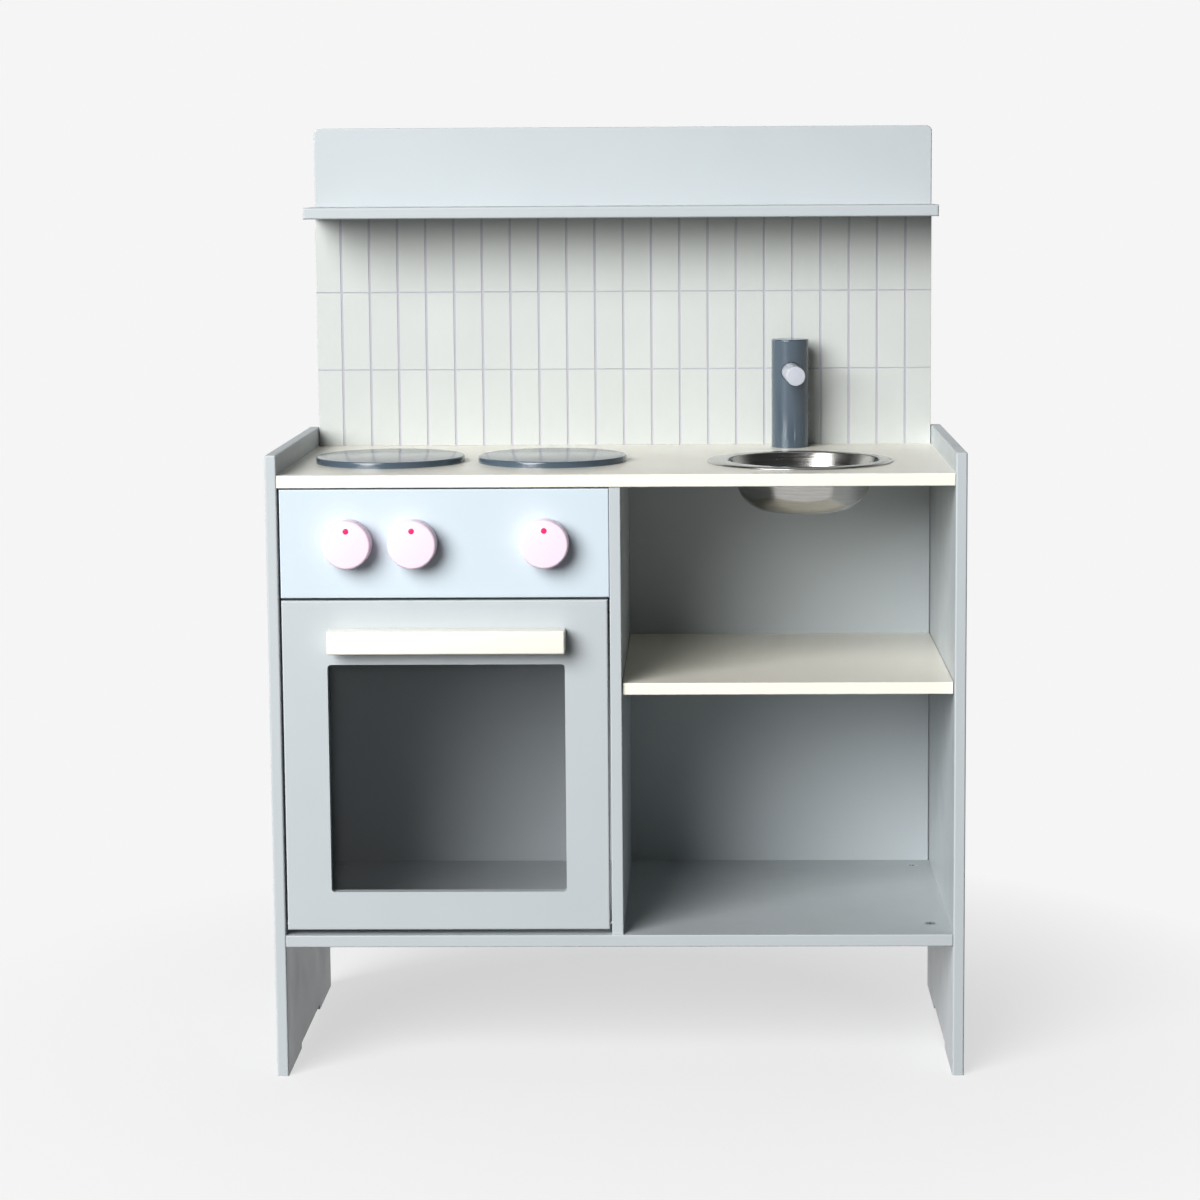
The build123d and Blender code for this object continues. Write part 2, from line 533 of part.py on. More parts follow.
# ================================================================ clear pane behind the door frame
with BuildPart() as window_pane:
    board(
        PANE_LEFT + PANE_GAP,
        PANE_RIGHT - PANE_GAP,
        PANE_FRONT,
        PANE_REAR,
        PANE_LOW + PANE_GAP,
        PANE_HIGH - PANE_GAP,
    )
    fillet(window_pane.edges().filter_by(Axis.Y), WINDOW_CORNER)
    for x, z in PANE_SCREWS:
        bore((x, PANE_REAR, z), BACKWARD, SMALL_SCREW_RADIUS + SNUG, PANE_THICKNESS)
window_pane.part.label = "window_pane"
export_step(window_pane.part, "parts/window_pane.step")

with BuildPart() as pane_screws:
    for x, z in PANE_SCREWS:
        pan_screw(
            (x, PANE_REAR, z),
            FORWARD,
            SMALL_SCREW_RADIUS,
            PANE_THICKNESS + PANEL / 2,
            SMALL_HEAD_RADIUS,
            SMALL_HEAD_HEIGHT,
        )
pane_screws.part.label = "pane_screws"
export_step(pane_screws.part, "parts/pane_screws.step")

# ================================================================ door handle
HANDLE_FRONT = FRONT - HANDLE_REACH
HANDLE_SCREW_GRIP = 12.0

with BuildPart() as door_handle:
    board(HANDLE_LEFT, HANDLE_RIGHT, HANDLE_FRONT, DOOR_FRONT, HANDLE_LOW, HANDLE_HIGH)
    fillet(door_handle.edges(), HANDLE_EDGE)
    for x, z in HANDLE_SCREWS:
        bore((x, DOOR_FRONT, z), BACKWARD, SCREW_RADIUS + SNUG, HANDLE_SCREW_GRIP)
door_handle.part.label = "door_handle"
export_step(door_handle.part, "parts/door_handle.step")

with BuildPart() as handle_screws:
    for x, z in HANDLE_SCREWS:
        pan_screw(
            (x, DOOR_REAR, z),
            FORWARD,
            SCREW_RADIUS,
            PANEL + HANDLE_SCREW_GRIP,
            SCREW_HEAD_RADIUS,
            SCREW_HEAD_HEIGHT,
        )
handle_screws.part.label = "handle_screws"
export_step(handle_screws.part, "parts/handle_screws.step")

# ================================================================ hinge pins of the door
PIN_LENGTH = PIN_IN_PANEL + DOOR_GAP + PIN_IN_DOOR - DOWEL_END_GAP

with BuildPart() as hinge_pin_left:
    rod((-INNER - PIN_IN_PANEL, PIN_Y, PIN_LEVEL), RIGHTWARD, PIN_RADIUS, PIN_LENGTH)
hinge_pin_left.part.label = "hinge_pin_left"
export_step(hinge_pin_left.part, "parts/hinge_pin_left.step")

with BuildPart() as hinge_pin_right:
    rod((DIVIDER_LEFT + PIN_IN_PANEL, PIN_Y, PIN_LEVEL), LEFTWARD, PIN_RADIUS, PIN_LENGTH)
hinge_pin_right.part.label = "hinge_pin_right"
export_step(hinge_pin_right.part, "parts/hinge_pin_right.step")

# ================================================================ magnet catch on the divider
with BuildPart() as magnet_catch:
    board(CATCH_LEFT, CATCH_RIGHT, CATCH_FRONT, CATCH_REAR, CATCH_LOW, CATCH_HIGH)
    fillet(magnet_catch.edges().group_by(Axis.X)[0], EDGE)
    with Locations((CATCH_X, CATCH_FRONT + MAGNET_SIZE[1] / 2, CATCH_MIDDLE)):
        Box(*MAGNET_SIZE, mode=Mode.SUBTRACT)
    for sign in END_SIGNS:
        screw_point = (CATCH_LEFT, CATCH_SCREW_Y, CATCH_MIDDLE + sign * CATCH_SCREW_SPREAD)
        bore(screw_point, LEFTWARD, SMALL_SCREW_RADIUS + SNUG, CATCH_RIGHT - CATCH_LEFT)
magnet_catch.part.label = "magnet_catch"
export_step(magnet_catch.part, "parts/magnet_catch.step")

with BuildPart() as catch_magnet:
    with Locations((CATCH_X, CATCH_FRONT + MAGNET_SIZE[1] / 2, CATCH_MIDDLE)):
        Box(*MAGNET_SIZE)
catch_magnet.part.label = "catch_magnet"
export_step(catch_magnet.part, "parts/catch_magnet.step")

with BuildPart() as catch_screws:
    for sign in END_SIGNS:
        pan_screw(
            (CATCH_LEFT, CATCH_SCREW_Y, CATCH_MIDDLE + sign * CATCH_SCREW_SPREAD),
            RIGHTWARD,
            SMALL_SCREW_RADIUS,
            CATCH_RIGHT - CATCH_LEFT + DOWEL_IN_DIVIDER,
            SMALL_HEAD_RADIUS,
            SMALL_HEAD_HEIGHT,
        )
catch_screws.part.label = "catch_screws"
export_step(catch_screws.part, "parts/catch_screws.step")

# ================================================================ strike plate on the back of the door
STRIKE_REAR = DOOR_REAR + STRIKE_THICKNESS
STRIKE_HEAD_RADIUS = 2.2

with BuildPart() as strike_plate:
    board(
        CATCH_X - STRIKE_WIDTH / 2, CATCH_X + STRIKE_WIDTH / 2, DOOR_REAR, STRIKE_REAR, CATCH_LOW, CATCH_HIGH
    )
    fillet(strike_plate.edges().filter_by(Axis.Y), EDGE)
    for sign in END_SIGNS:
        strike_point = (CATCH_X, STRIKE_REAR, CATCH_MIDDLE + sign * STRIKE_SCREW_SPREAD)
        countersink(strike_point, BACKWARD, SMALL_SCREW_RADIUS, STRIKE_THICKNESS, STRIKE_HEAD_RADIUS)
strike_plate.part.label = "strike_plate"
export_step(strike_plate.part, "parts/strike_plate.step")

with BuildPart() as strike_screws:
    for sign in END_SIGNS:
        flat_screw(
            (CATCH_X, STRIKE_REAR, CATCH_MIDDLE + sign * STRIKE_SCREW_SPREAD),
            FORWARD,
            SMALL_SCREW_RADIUS,
            STRIKE_THICKNESS + PANEL / 2,
            STRIKE_HEAD_RADIUS,
        )
strike_screws.part.label = "strike_screws"
export_step(strike_screws.part, "parts/strike_screws.step")

# ================================================================ burners
BURNER_SCREW_GRIP = 3.5

for side, burner_x in BURNERS.items():
    with BuildPart() as burner:
        rod((burner_x, BURNER_Y, WORKTOP_TOP), UP, BURNER_RADIUS, BURNER_THICKNESS)
        fillet(burner.edges().group_by(Axis.Z)[-1], BURNER_EDGE)
        for x, y in BURNER_SCREWS:
            if abs(x - burner_x) < BURNER_RADIUS:
                bore((x, y, WORKTOP_TOP), DOWN, SCREW_RADIUS + SNUG, BURNER_SCREW_GRIP)
    burner.part.label = f"burner_{side}"
    export_step(burner.part, f"parts/burner_{side}.step")

with BuildPart() as burner_screws:
    for x, y in BURNER_SCREWS:
        pan_screw(
            (x, y, WORKTOP_LOW),
            UP,
            SCREW_RADIUS,
            WORKTOP + BURNER_SCREW_GRIP,
            SCREW_HEAD_RADIUS,
            SCREW_HEAD_HEIGHT,
        )
burner_screws.part.label = "burner_screws"
export_step(burner_screws.part, "parts/burner_screws.step")

# ================================================================ sink bowl
with BuildPart() as sink_bowl:
    with BuildSketch(Plane(origin=(BOWL_X, SINK_Y, 0), x_dir=RIGHTWARD, z_dir=FORWARD)):
        with BuildLine():
            FilletPolyline(
                (0, BOWL_FLOOR),
                (BOWL_FLOOR_CORNER, BOWL_FLOOR),
                (BOWL_MOUTH_RADIUS, SINK_TOP),
                (BOWL_FLAT_RADIUS, SINK_TOP),
                radius=BOWL_BENDS,
            )
            offset(amount=SINK_SHEET, side=Side.RIGHT)
        make_face()
    revolve(axis=Axis((BOWL_X, SINK_Y, 0), UP))
    with BuildSketch(Plane.XY.offset(SINK_TOP)):
        with Locations((RIM_X, SINK_Y)):
            Circle(RIM_SLOPE_RADIUS)
        with Locations((BOWL_X, SINK_Y)):
            Circle(BOWL_FLAT_RADIUS - RIM_OVERLAP, mode=Mode.SUBTRACT)
    extrude(amount=-SINK_SHEET)
    with BuildSketch(Plane(origin=(RIM_X, SINK_Y, 0), x_dir=RIGHTWARD, z_dir=FORWARD)):
        with BuildLine():
            FilletPolyline(
                (RIM_SLOPE_RADIUS - RIM_OVERLAP, SINK_TOP),
                (RIM_SLOPE_RADIUS + RIM_OVERLAP, SINK_TOP),
                (RIM_RADIUS, SINK_TOP - RIM_DROP),
                radius=RIM_SLOPE_BEND,
            )
            offset(amount=SINK_SHEET, side=Side.RIGHT)
        make_face()
    revolve(axis=Axis((RIM_X, SINK_Y, 0), UP))
sink_bowl.part.label = "sink_bowl"
export_step(sink_bowl.part, "parts/sink_bowl.step")

# ================================================================ tap
SPOUT_AIM = Vector(0, -1, 0).rotate(Axis.Z, SPOUT_TURN)
SPOUT_MOUTH = Vector(TAP_X, TAP_Y, SPOUT_LEVEL) + SPOUT_AIM * TAP_RADIUS
SPOUT_ROOT = SPOUT_MOUTH - SPOUT_AIM * SPOUT_SOCKET
TAP_FOOT = WORKTOP_TOP + TAP_FOOT_GAP

with BuildPart() as tap_body:
    rod((TAP_X, TAP_Y, TAP_FOOT), UP, TAP_RADIUS, TAP_TOP - TAP_FOOT)
    fillet(tap_body.edges().group_by(Axis.Z)[-1], TAP_EDGE)
    bore(SPOUT_MOUTH, SPOUT_AIM, SPOUT_RADIUS + SPOUT_SOCKET_GAP, SPOUT_SOCKET)
    bore((TAP_X, TAP_Y, TAP_FOOT), DOWN, TAP_BOLT_RADIUS + SNUG, TAP_BOLT_GRIP)
tap_body.part.label = "tap_body"
export_step(tap_body.part, "parts/tap_body.step")

with BuildPart() as tap_spout:
    rod(SPOUT_ROOT, SPOUT_AIM, SPOUT_RADIUS, SPOUT_SOCKET + SPOUT_REACH)
    fillet(tap_spout.edges().group_by(Axis.Y)[0], SPOUT_EDGE)
tap_spout.part.label = "tap_spout"
export_step(tap_spout.part, "parts/tap_spout.step")

TAP_WASHER_TOP = WORKTOP_LOW - KNOB_GAP
TAP_WASHER_RADIUS = 8.0
TAP_BOLT_HEAD_RADIUS = 5.0

with BuildPart() as tap_washer:
    rod((TAP_X, TAP_Y, TAP_WASHER_TOP), DOWN, TAP_WASHER_RADIUS, WASHER_THICKNESS)
    bore((TAP_X, TAP_Y, TAP_WASHER_TOP), UP, TAP_BOLT_RADIUS + SNUG, WASHER_THICKNESS)
tap_washer.part.label = "tap_washer"
export_step(tap_washer.part, "parts/tap_washer.step")

with BuildPart() as tap_bolt:
    pan_screw(
        (TAP_X, TAP_Y, TAP_WASHER_TOP - WASHER_THICKNESS),
        UP,
        TAP_BOLT_RADIUS,
        TAP_FOOT - TAP_WASHER_TOP + WASHER_THICKNESS + TAP_BOLT_GRIP,
        TAP_BOLT_HEAD_RADIUS,
        BOLT_HEAD_HEIGHT,
    )
tap_bolt.part.label = "tap_bolt"
export_step(tap_bolt.part, "parts/tap_bolt.step")

# ================================================================ cam nuts and cam bolts
CAM_LEVELS = ((BASE_TOP, UP, BASE_MIDDLE), (WORKTOP_LOW, DOWN, WORKTOP_MIDDLE))

with BuildPart() as cam_nuts:
    for end_sign in END_SIGNS:
        cam_x = end_sign * (INNER - CAM_INSET)
        for row in CAM_ROWS:
            for face_level, opening, bolt_level in CAM_LEVELS:
                sinking = tuple(-value for value in opening)
                rod((cam_x, row, face_level), sinking, CAM_RADIUS, CAM_DEPTH)
                with Locations(facing((cam_x, row, face_level), opening)):
                    Box(CAM_SLOT[0], CAM_SLOT[1], 2 * CAM_SLOT[2], mode=Mode.SUBTRACT)
                    Box(CAM_SLOT[1], CAM_SLOT[0], 2 * CAM_SLOT[2], mode=Mode.SUBTRACT)
                rim_point = (end_sign * (INNER - CAM_INSET + CAM_RADIUS), row, bolt_level)
                bore(rim_point, outward(end_sign), CAM_BOLT_RADIUS + SNUG, CAM_RADIUS + SNUG)
cam_nuts.part.label = "cam_nuts"
export_step(cam_nuts.part, "parts/cam_nuts.step")

with BuildPart() as cam_bolts:
    for end_sign in END_SIGNS:
        for row in CAM_ROWS:
            for bolt_level in (BASE_MIDDLE, WORKTOP_MIDDLE):
                panel_face = (end_sign * INNER, row, bolt_level)
                head_start = (end_sign * (INNER - CAM_INSET + CAM_HEAD_LENGTH), row, bolt_level)
                rod(panel_face, outward(end_sign), CAM_BOLT_RADIUS, CAM_BOLT_IN_PANEL)
                rod(panel_face, outward(-end_sign), CAM_NECK_RADIUS, CAM_INSET - CAM_HEAD_LENGTH)
                rod(head_start, outward(-end_sign), CAM_BOLT_RADIUS, CAM_HEAD_LENGTH)
cam_bolts.part.label = "cam_bolts"
export_step(cam_bolts.part, "parts/cam_bolts.step")

# ================================================================ wooden dowels
with BuildPart() as wooden_dowels:
    for end_sign in END_SIGNS:
        for level in (BASE_MIDDLE, WORKTOP_MIDDLE):
            dowel_end = (end_sign * (INNER + DOWEL_IN_FACE), DOWEL_CENTRE_ROW, level)
            rod(dowel_end, outward(-end_sign), DOWEL_RADIUS, DOWEL_IN_FACE + DOWEL_IN_EDGE)
    for row in DOWEL_ROWS:
        rod((DIVIDER_X, row, BASE_TOP - DOWEL_IN_FACE), UP, DOWEL_RADIUS, DOWEL_IN_FACE + DOWEL_IN_EDGE)
        rod((DIVIDER_X, row, WORKTOP_LOW + DOWEL_IN_FACE), DOWN, DOWEL_RADIUS, DOWEL_IN_FACE + DOWEL_IN_EDGE)
        divider_end = (DIVIDER_RIGHT - DOWEL_IN_DIVIDER, row, SHELF_MIDDLE)
        rod(divider_end, RIGHTWARD, DOWEL_RADIUS, DOWEL_IN_DIVIDER + DOWEL_IN_EDGE)
        rod((INNER + DOWEL_IN_FACE, row, SHELF_MIDDLE), LEFTWARD, DOWEL_RADIUS, DOWEL_IN_FACE + DOWEL_IN_EDGE)
    for level in CONTROL_DOWEL_LEVELS:
        panel_end = (-INNER - DOWEL_IN_FACE, CONTROL_DOWEL_Y, level)
        rod(panel_end, RIGHTWARD, SMALL_DOWEL_RADIUS, DOWEL_IN_FACE + DOWEL_IN_EDGE)
        divider_end = (DIVIDER_LEFT + DOWEL_IN_DIVIDER, CONTROL_DOWEL_Y, level)
        rod(divider_end, LEFTWARD, SMALL_DOWEL_RADIUS, DOWEL_IN_DIVIDER + DOWEL_IN_EDGE)
wooden_dowels.part.label = "wooden_dowels"
export_step(wooden_dowels.part, "parts/wooden_dowels.step")

# ================================================================ screws through the back board
with BuildPart() as back_board_screws:
    for x, z in BACK_SCREWS:
        flat_screw((x, REAR, z), FORWARD, SCREW_RADIUS, BACK_SCREW_LENGTH, SCREW_HEAD_RADIUS)
back_board_screws.part.label = "back_board_screws"
export_step(back_board_screws.part, "parts/back_board_screws.step")
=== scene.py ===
import json
import math

import bmesh
import bpy
from mathutils import Matrix, Vector


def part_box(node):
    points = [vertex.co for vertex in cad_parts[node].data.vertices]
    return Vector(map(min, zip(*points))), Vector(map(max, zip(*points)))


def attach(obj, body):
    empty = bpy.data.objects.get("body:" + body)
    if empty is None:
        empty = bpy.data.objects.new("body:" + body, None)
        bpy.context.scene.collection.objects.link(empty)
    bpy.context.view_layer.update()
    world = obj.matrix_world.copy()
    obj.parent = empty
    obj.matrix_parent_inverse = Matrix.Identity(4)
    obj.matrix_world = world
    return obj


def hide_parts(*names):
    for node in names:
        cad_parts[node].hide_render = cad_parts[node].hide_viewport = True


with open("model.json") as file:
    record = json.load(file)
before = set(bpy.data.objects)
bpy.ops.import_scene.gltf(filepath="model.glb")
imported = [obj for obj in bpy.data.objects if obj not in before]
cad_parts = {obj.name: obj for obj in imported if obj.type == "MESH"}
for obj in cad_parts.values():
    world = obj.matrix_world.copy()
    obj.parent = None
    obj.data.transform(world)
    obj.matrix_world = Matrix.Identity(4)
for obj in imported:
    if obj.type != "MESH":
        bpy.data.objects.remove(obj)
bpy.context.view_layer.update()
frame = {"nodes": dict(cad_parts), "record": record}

MM = 0.001
BACK, UP = Vector((0, 1, 0)), Vector((0, 0, 1))

# Tiles: the same pitch places the pieces and their changes of tone
TILE_PITCH = 26.54 * MM
TILE_COLUMNS = 22
TILE_LINE = 600.3 * MM  # level of the lower grout line
TILE_RISE = 73.1 * MM  # from the lower grout line to the upper one

# Studio
PALE = 0.926  # tone of the backdrop
DAYLIGHT = (0.97, 0.985, 1.0, 1)

# Soft noise runs from about here to here
CLOUD_LOW, CLOUD_HIGH = 0.3, 0.7


# ---------------------------------------------------------------- reading the frame
def middle(node):
    """Centre of a CAD node's box."""
    low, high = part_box(node)
    return (low + high) / 2


def span(node):
    """Width, depth and height of a CAD node's box."""
    low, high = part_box(node)
    return high - low


def back_middle(node):
    """Middle of the back face of a CAD node's box."""
    return Vector((middle(node).x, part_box(node)[1].y, middle(node).z))


def foot_middle(node):
    """Middle of the bottom face of a CAD node's box."""
    return Vector((middle(node).x, middle(node).y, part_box(node)[0].z))


# ---------------------------------------------------------------- building shader nodes
def place(tree, kind, feeds=None, **settings):
    """Adds a shader node. Feeds are values or sockets for its inputs, by name or number."""
    node = tree.nodes.new(kind)
    for name, value in settings.items():
        setattr(node, name, value)
    for key, value in (feeds or {}).items():
        if isinstance(value, bpy.types.NodeSocket):
            tree.links.new(value, node.inputs[key])
        else:
            node.inputs[key].default_value = value
    return node


def effect_group(name, inputs, outputs):
    """An empty node group with named inputs (name, kind, value) and outputs (name, kind)."""
    group = bpy.data.node_groups.new(name, "ShaderNodeTree")
    for label, kind, value in inputs:
        socket = group.interface.new_socket(name=label, in_out="INPUT", socket_type=kind)
        socket.default_value = value
    for label, kind in outputs:
        group.interface.new_socket(name=label, in_out="OUTPUT", socket_type=kind)
    return group, group.nodes.new("NodeGroupInput").outputs, group.nodes.new("NodeGroupOutput").inputs


def object_place(tree):
    """Position in the object's own coordinates, in metres. In the world it is the direction of view."""
    return place(tree, "ShaderNodeTexCoord").outputs["Object"]


def sum_of(tree, first, second):
    """One value added to another."""
    return place(tree, "ShaderNodeMath", {0: first, 1: second}, operation="ADD").outputs[0]


def product_of(tree, first, second):
    """One value times another."""
    return place(tree, "ShaderNodeMath", {0: first, 1: second}, operation="MULTIPLY").outputs[0]


def whole_part(tree, value):
    """The whole number at or below a value."""
    return place(tree, "ShaderNodeMath", {0: value}, operation="FLOOR").outputs[0]


def length_of(tree, vector):
    """Length of a vector."""
    return place(tree, "ShaderNodeVectorMath", {0: vector}, operation="LENGTH").outputs["Value"]


def shaded(tree, colour, factor):
    """A colour made darker or lighter by a factor."""
    feeds = {0: colour, "Scale": factor}
    return place(tree, "ShaderNodeVectorMath", feeds, operation="SCALE").outputs[0]


def blend(tree, share, first, second):
    """A colour that goes from the first to the second as the share rises."""
    feeds = {0: share, 6: (*first, 1), 7: (*second, 1)}
    return place(tree, "ShaderNodeMix", feeds, data_type="RGBA").outputs[2]


def ramp_between(tree, value, low, high, to_low=0.0, to_high=1.0, clamp=True):
    """Maps the range low to high of a value on to another range."""
    feeds = {"Value": value, "From Min": low, "From Max": high, "To Min": to_low, "To Max": to_high}
    return place(tree, "ShaderNodeMapRange", feeds, clamp=clamp).outputs["Result"]


def cloud(tree, scale, detail=2.0, where=None):
    """Soft noise with that many features to the metre."""
    where = where or object_place(tree)
    return place(tree, "ShaderNodeTexNoise", {"Vector": where, "Scale": scale, "Detail": detail}).outputs[0]


def spread(tree, noise, to_low, to_high):
    """Maps the usual range of soft noise on to another range."""
    return ramp_between(tree, noise, CLOUD_LOW, CLOUD_HIGH, to_low, to_high)


def raised(tree, height, strength, distance):
    """A normal for a surface with that relief."""
    feeds = {"Strength": strength, "Distance": distance, "Height": height}
    return place(tree, "ShaderNodeBump", feeds).outputs[0]


def mixed(tree, share, first, second):
    """A shader that goes from the first to the second as the share rises."""
    return place(tree, "ShaderNodeMixShader", {0: share, 1: first, 2: second}).outputs[0]


def neutral(tone):
    """A colour without a hue."""
    return (tone, tone, tone, 1)


def make_sprayed_film():
    """Sprayed paint: slow shade changes and fine orange peel."""
    group, given, result = effect_group(
        "sprayed_film",
        [
            ("Colour", "NodeSocketColor", neutral(0.8)),
            ("Mottle", "NodeSocketFloat", 0.04),
            ("Roughness", "NodeSocketFloat", 0.4),
            ("Peel", "NodeSocketFloat", 0.2),
        ],
        [("Colour", "NodeSocketColor"), ("Roughness", "NodeSocketFloat"), ("Normal", "NodeSocketVector")],
    )
    slow = spread(group, cloud(group, 7.0, detail=3.0), -1.0, 1.0)
    shade = sum_of(group, 1.0, product_of(group, slow, given["Mottle"]))
    group.links.new(shaded(group, given["Colour"], shade), result["Colour"])
    haze = spread(group, cloud(group, 24.0, detail=3.0), -0.05, 0.05)
    group.links.new(sum_of(group, given["Roughness"], haze), result["Roughness"])
    waves = cloud(group, 380.0, detail=1.0)
    group.links.new(raised(group, waves, given["Peel"], 0.08 * MM), result["Normal"])
    return group


def make_turned_rings():
    """Fine rings left by spinning or turning about an upright axis."""
    group, given, result = effect_group(
        "turned_rings",
        [
            ("Centre", "NodeSocketVector", (0, 0, 0)),
            ("Rings", "NodeSocketFloat", 900.0),
            ("Strength", "NodeSocketFloat", 0.1),
            ("Roughness", "NodeSocketFloat", 0.2),
        ],
        [("Roughness", "NodeSocketFloat"), ("Streak", "NodeSocketFloat"), ("Normal", "NodeSocketVector")],
    )
    offset = place(
        group, "ShaderNodeVectorMath", {0: object_place(group), 1: given["Centre"]}, operation="SUBTRACT"
    ).outputs[0]
    parts = place(group, "ShaderNodeSeparateXYZ", {0: offset}).outputs
    flat = place(group, "ShaderNodeCombineXYZ", {0: parts[0], 1: parts[1]}).outputs[0]
    ring_place = place(group, "ShaderNodeCombineXYZ", {0: length_of(group, flat), 1: parts[2]}).outputs[0]
    rings = cloud(group, given["Rings"], detail=3.0, where=ring_place)
    smears = cloud(group, 60.0, detail=3.0)
    rough = sum_of(group, given["Roughness"], spread(group, rings, -0.05, 0.06))
    rough = sum_of(group, rough, spread(group, smears, -0.03, 0.04))
    group.links.new(rough, result["Roughness"])
    group.links.new(rings, result["Streak"])
    group.links.new(raised(group, rings, given["Strength"], 0.04 * MM), result["Normal"])
    return group


sprayed_film = make_sprayed_film()
turned_rings = make_turned_rings()


# ---------------------------------------------------------------- materials
def finish(name, **sockets):
    """A material with one Principled shader, whose plain values are set on its own sockets."""
    material = bpy.data.materials.new(name)
    material.use_nodes = True
    shader = material.node_tree.nodes["Principled BSDF"]
    for label, value in sockets.items():
        shader.inputs[label.replace("_", " ")].default_value = value
    return material, material.node_tree, shader.inputs


def dress(tree, surface, colour, roughness, normal=None):
    """Joins what changes over the surface to the shader's own sockets."""
    tree.links.new(colour, surface["Base Color"])
    tree.links.new(roughness, surface["Roughness"])
    if normal is not None:
        tree.links.new(normal, surface["Normal"])


def painted(name, colour, roughness=0.42, peel=0.05, coat=0.0):
    """Sprayed paint on smooth board or turned wood."""
    material, tree, surface = finish(name, Coat_Weight=coat, Coat_Roughness=0.12)
    feeds = {"Colour": (*colour, 1), "Mottle": 0.01, "Roughness": roughness, "Peel": peel}
    film = place(tree, "ShaderNodeGroup", feeds, node_tree=sprayed_film).outputs
    dress(tree, surface, film["Colour"], film["Roughness"], film["Normal"])
    return material


def tiled(name, colour):
    """Sprayed sheet whose embossed tiles differ a little in tone."""
    material = painted(name, colour, roughness=0.36, coat=0.1)
    tree = material.node_tree
    parts = place(tree, "ShaderNodeSeparateXYZ", {0: object_place(tree)}).outputs
    column = whole_part(tree, ramp_between(tree, parts[0], 0.0, TILE_PITCH, clamp=False))
    row = whole_part(tree, ramp_between(tree, parts[2], TILE_LINE, TILE_LINE + TILE_RISE, clamp=False))
    cell = place(tree, "ShaderNodeCombineXYZ", {0: column, 1: row}).outputs[0]
    chance = place(tree, "ShaderNodeTexWhiteNoise", {"Vector": cell}).outputs["Value"]
    tone = ramp_between(tree, chance, 0.0, 1.0, to_low=0.985, to_high=1.015)
    film = next(node for node in tree.nodes if node.type == "GROUP").outputs
    surface = tree.nodes["Principled BSDF"].inputs
    tree.links.new(shaded(tree, film["Colour"], tone), surface["Base Color"])
    return material


def spun_steel(name, centre):
    """Polished steel sheet, spun over a form, with fine rings round its axis."""
    material, tree, surface = finish(name, Metallic=1.0)
    feeds = {"Centre": centre, "Rings": 700.0, "Strength": 0.12, "Roughness": 0.2}
    rings = place(tree, "ShaderNodeGroup", feeds, node_tree=turned_rings).outputs
    tone = blend(tree, rings["Streak"], (0.40, 0.39, 0.37), (0.62, 0.61, 0.59))
    dress(tree, surface, tone, rings["Roughness"], rings["Normal"])
    return material


def plated(name, colour, roughness):
    """Metal with faint clouding, such as zinc plating."""
    material, tree, surface = finish(name, Metallic=1.0)
    clouds = cloud(tree, 300.0, detail=3.0)
    dull = [value * 0.8 for value in colour]
    tone = blend(tree, clouds, dull, colour)
    dress(tree, surface, tone, spread(tree, clouds, roughness - 0.06, roughness + 0.08))
    return material


def moulded(name, colour, roughness):
    """Injection-moulded plastic with a fine grain."""
    material, tree, surface = finish(name)
    grain = cloud(tree, 1400.0, detail=1.0)
    dull = [value * 0.96 for value in colour]
    tone = blend(tree, cloud(tree, 40.0), dull, colour)
    rough = spread(tree, grain, roughness - 0.04, roughness + 0.04)
    dress(tree, surface, tone, rough, raised(tree, grain, 0.15, 0.05 * MM))
    return material


def clear_sheet(name):
    """Clear acrylic sheet."""
    material, tree, surface = finish(name, Alpha=0.12, IOR=1.49)
    haze = cloud(tree, 12.0)
    tone = blend(tree, haze, (0.11, 0.115, 0.12), (0.13, 0.135, 0.14))
    dress(tree, surface, tone, spread(tree, haze, 0.04, 0.07))
    return material


def beech(name):
    """Bare wood with a straight grain along X."""
    material, tree, surface = finish(name)
    feeds = {"Vector": object_place(tree), "Scale": (30.0, 600.0, 600.0)}
    stretched = place(tree, "ShaderNodeMapping", feeds).outputs[0]
    grain = cloud(tree, 1.0, detail=4.0, where=stretched)
    tone = blend(tree, grain, (0.42, 0.25, 0.12), (0.66, 0.45, 0.25))
    dress(tree, surface, tone, spread(tree, grain, 0.5, 0.7), raised(tree, grain, 0.3, 0.1 * MM))
    return material


cream_paint = painted("cream_paint", (0.86, 0.835, 0.755), roughness=0.34, peel=0.0, coat=0.15)
tile_print = tiled("tile_print", (0.55, 0.57, 0.555))
grout_print = painted("grout_print", (0.435, 0.435, 0.475), roughness=0.6)
slate_paint = painted("slate_paint", (0.085, 0.115, 0.145), roughness=0.18, coat=0.5, peel=0.02)
spout_paint = painted("spout_paint", (0.50, 0.52, 0.57), roughness=0.35, coat=0.1)
knob_paint = painted("knob_paint", (0.88, 0.71, 0.81), roughness=0.4, coat=0.05)
pink_paint = painted("pink_paint", (0.86, 0.02, 0.16), roughness=0.25, coat=0.5)
bowl_steel = spun_steel("bowl_steel", tuple(middle("sink_bowl")))

FINISHES = {
    "grey_paint": painted("grey_paint", (0.495, 0.53, 0.547), coat=0.08),
    "blue_paint": painted("blue_paint", (0.575, 0.65, 0.70), coat=0.05),
    "cream_paint": cream_paint,
    "tile_print": tile_print,
    "slate_paint": slate_paint,
    "spout_paint": spout_paint,
    "knob_paint": knob_paint,
    "pink_paint": pink_paint,
    "clear_pane": clear_sheet("clear_pane"),
    "steel": bowl_steel,
    "zinc_steel": plated("zinc_steel", (0.72, 0.72, 0.71), 0.3),
    "magnet_iron": plated("magnet_iron", (0.12, 0.12, 0.13), 0.45),
    "catch_plastic": moulded("catch_plastic", (0.84, 0.84, 0.82), 0.4),
    "beech": beech("bare_beech"),
}

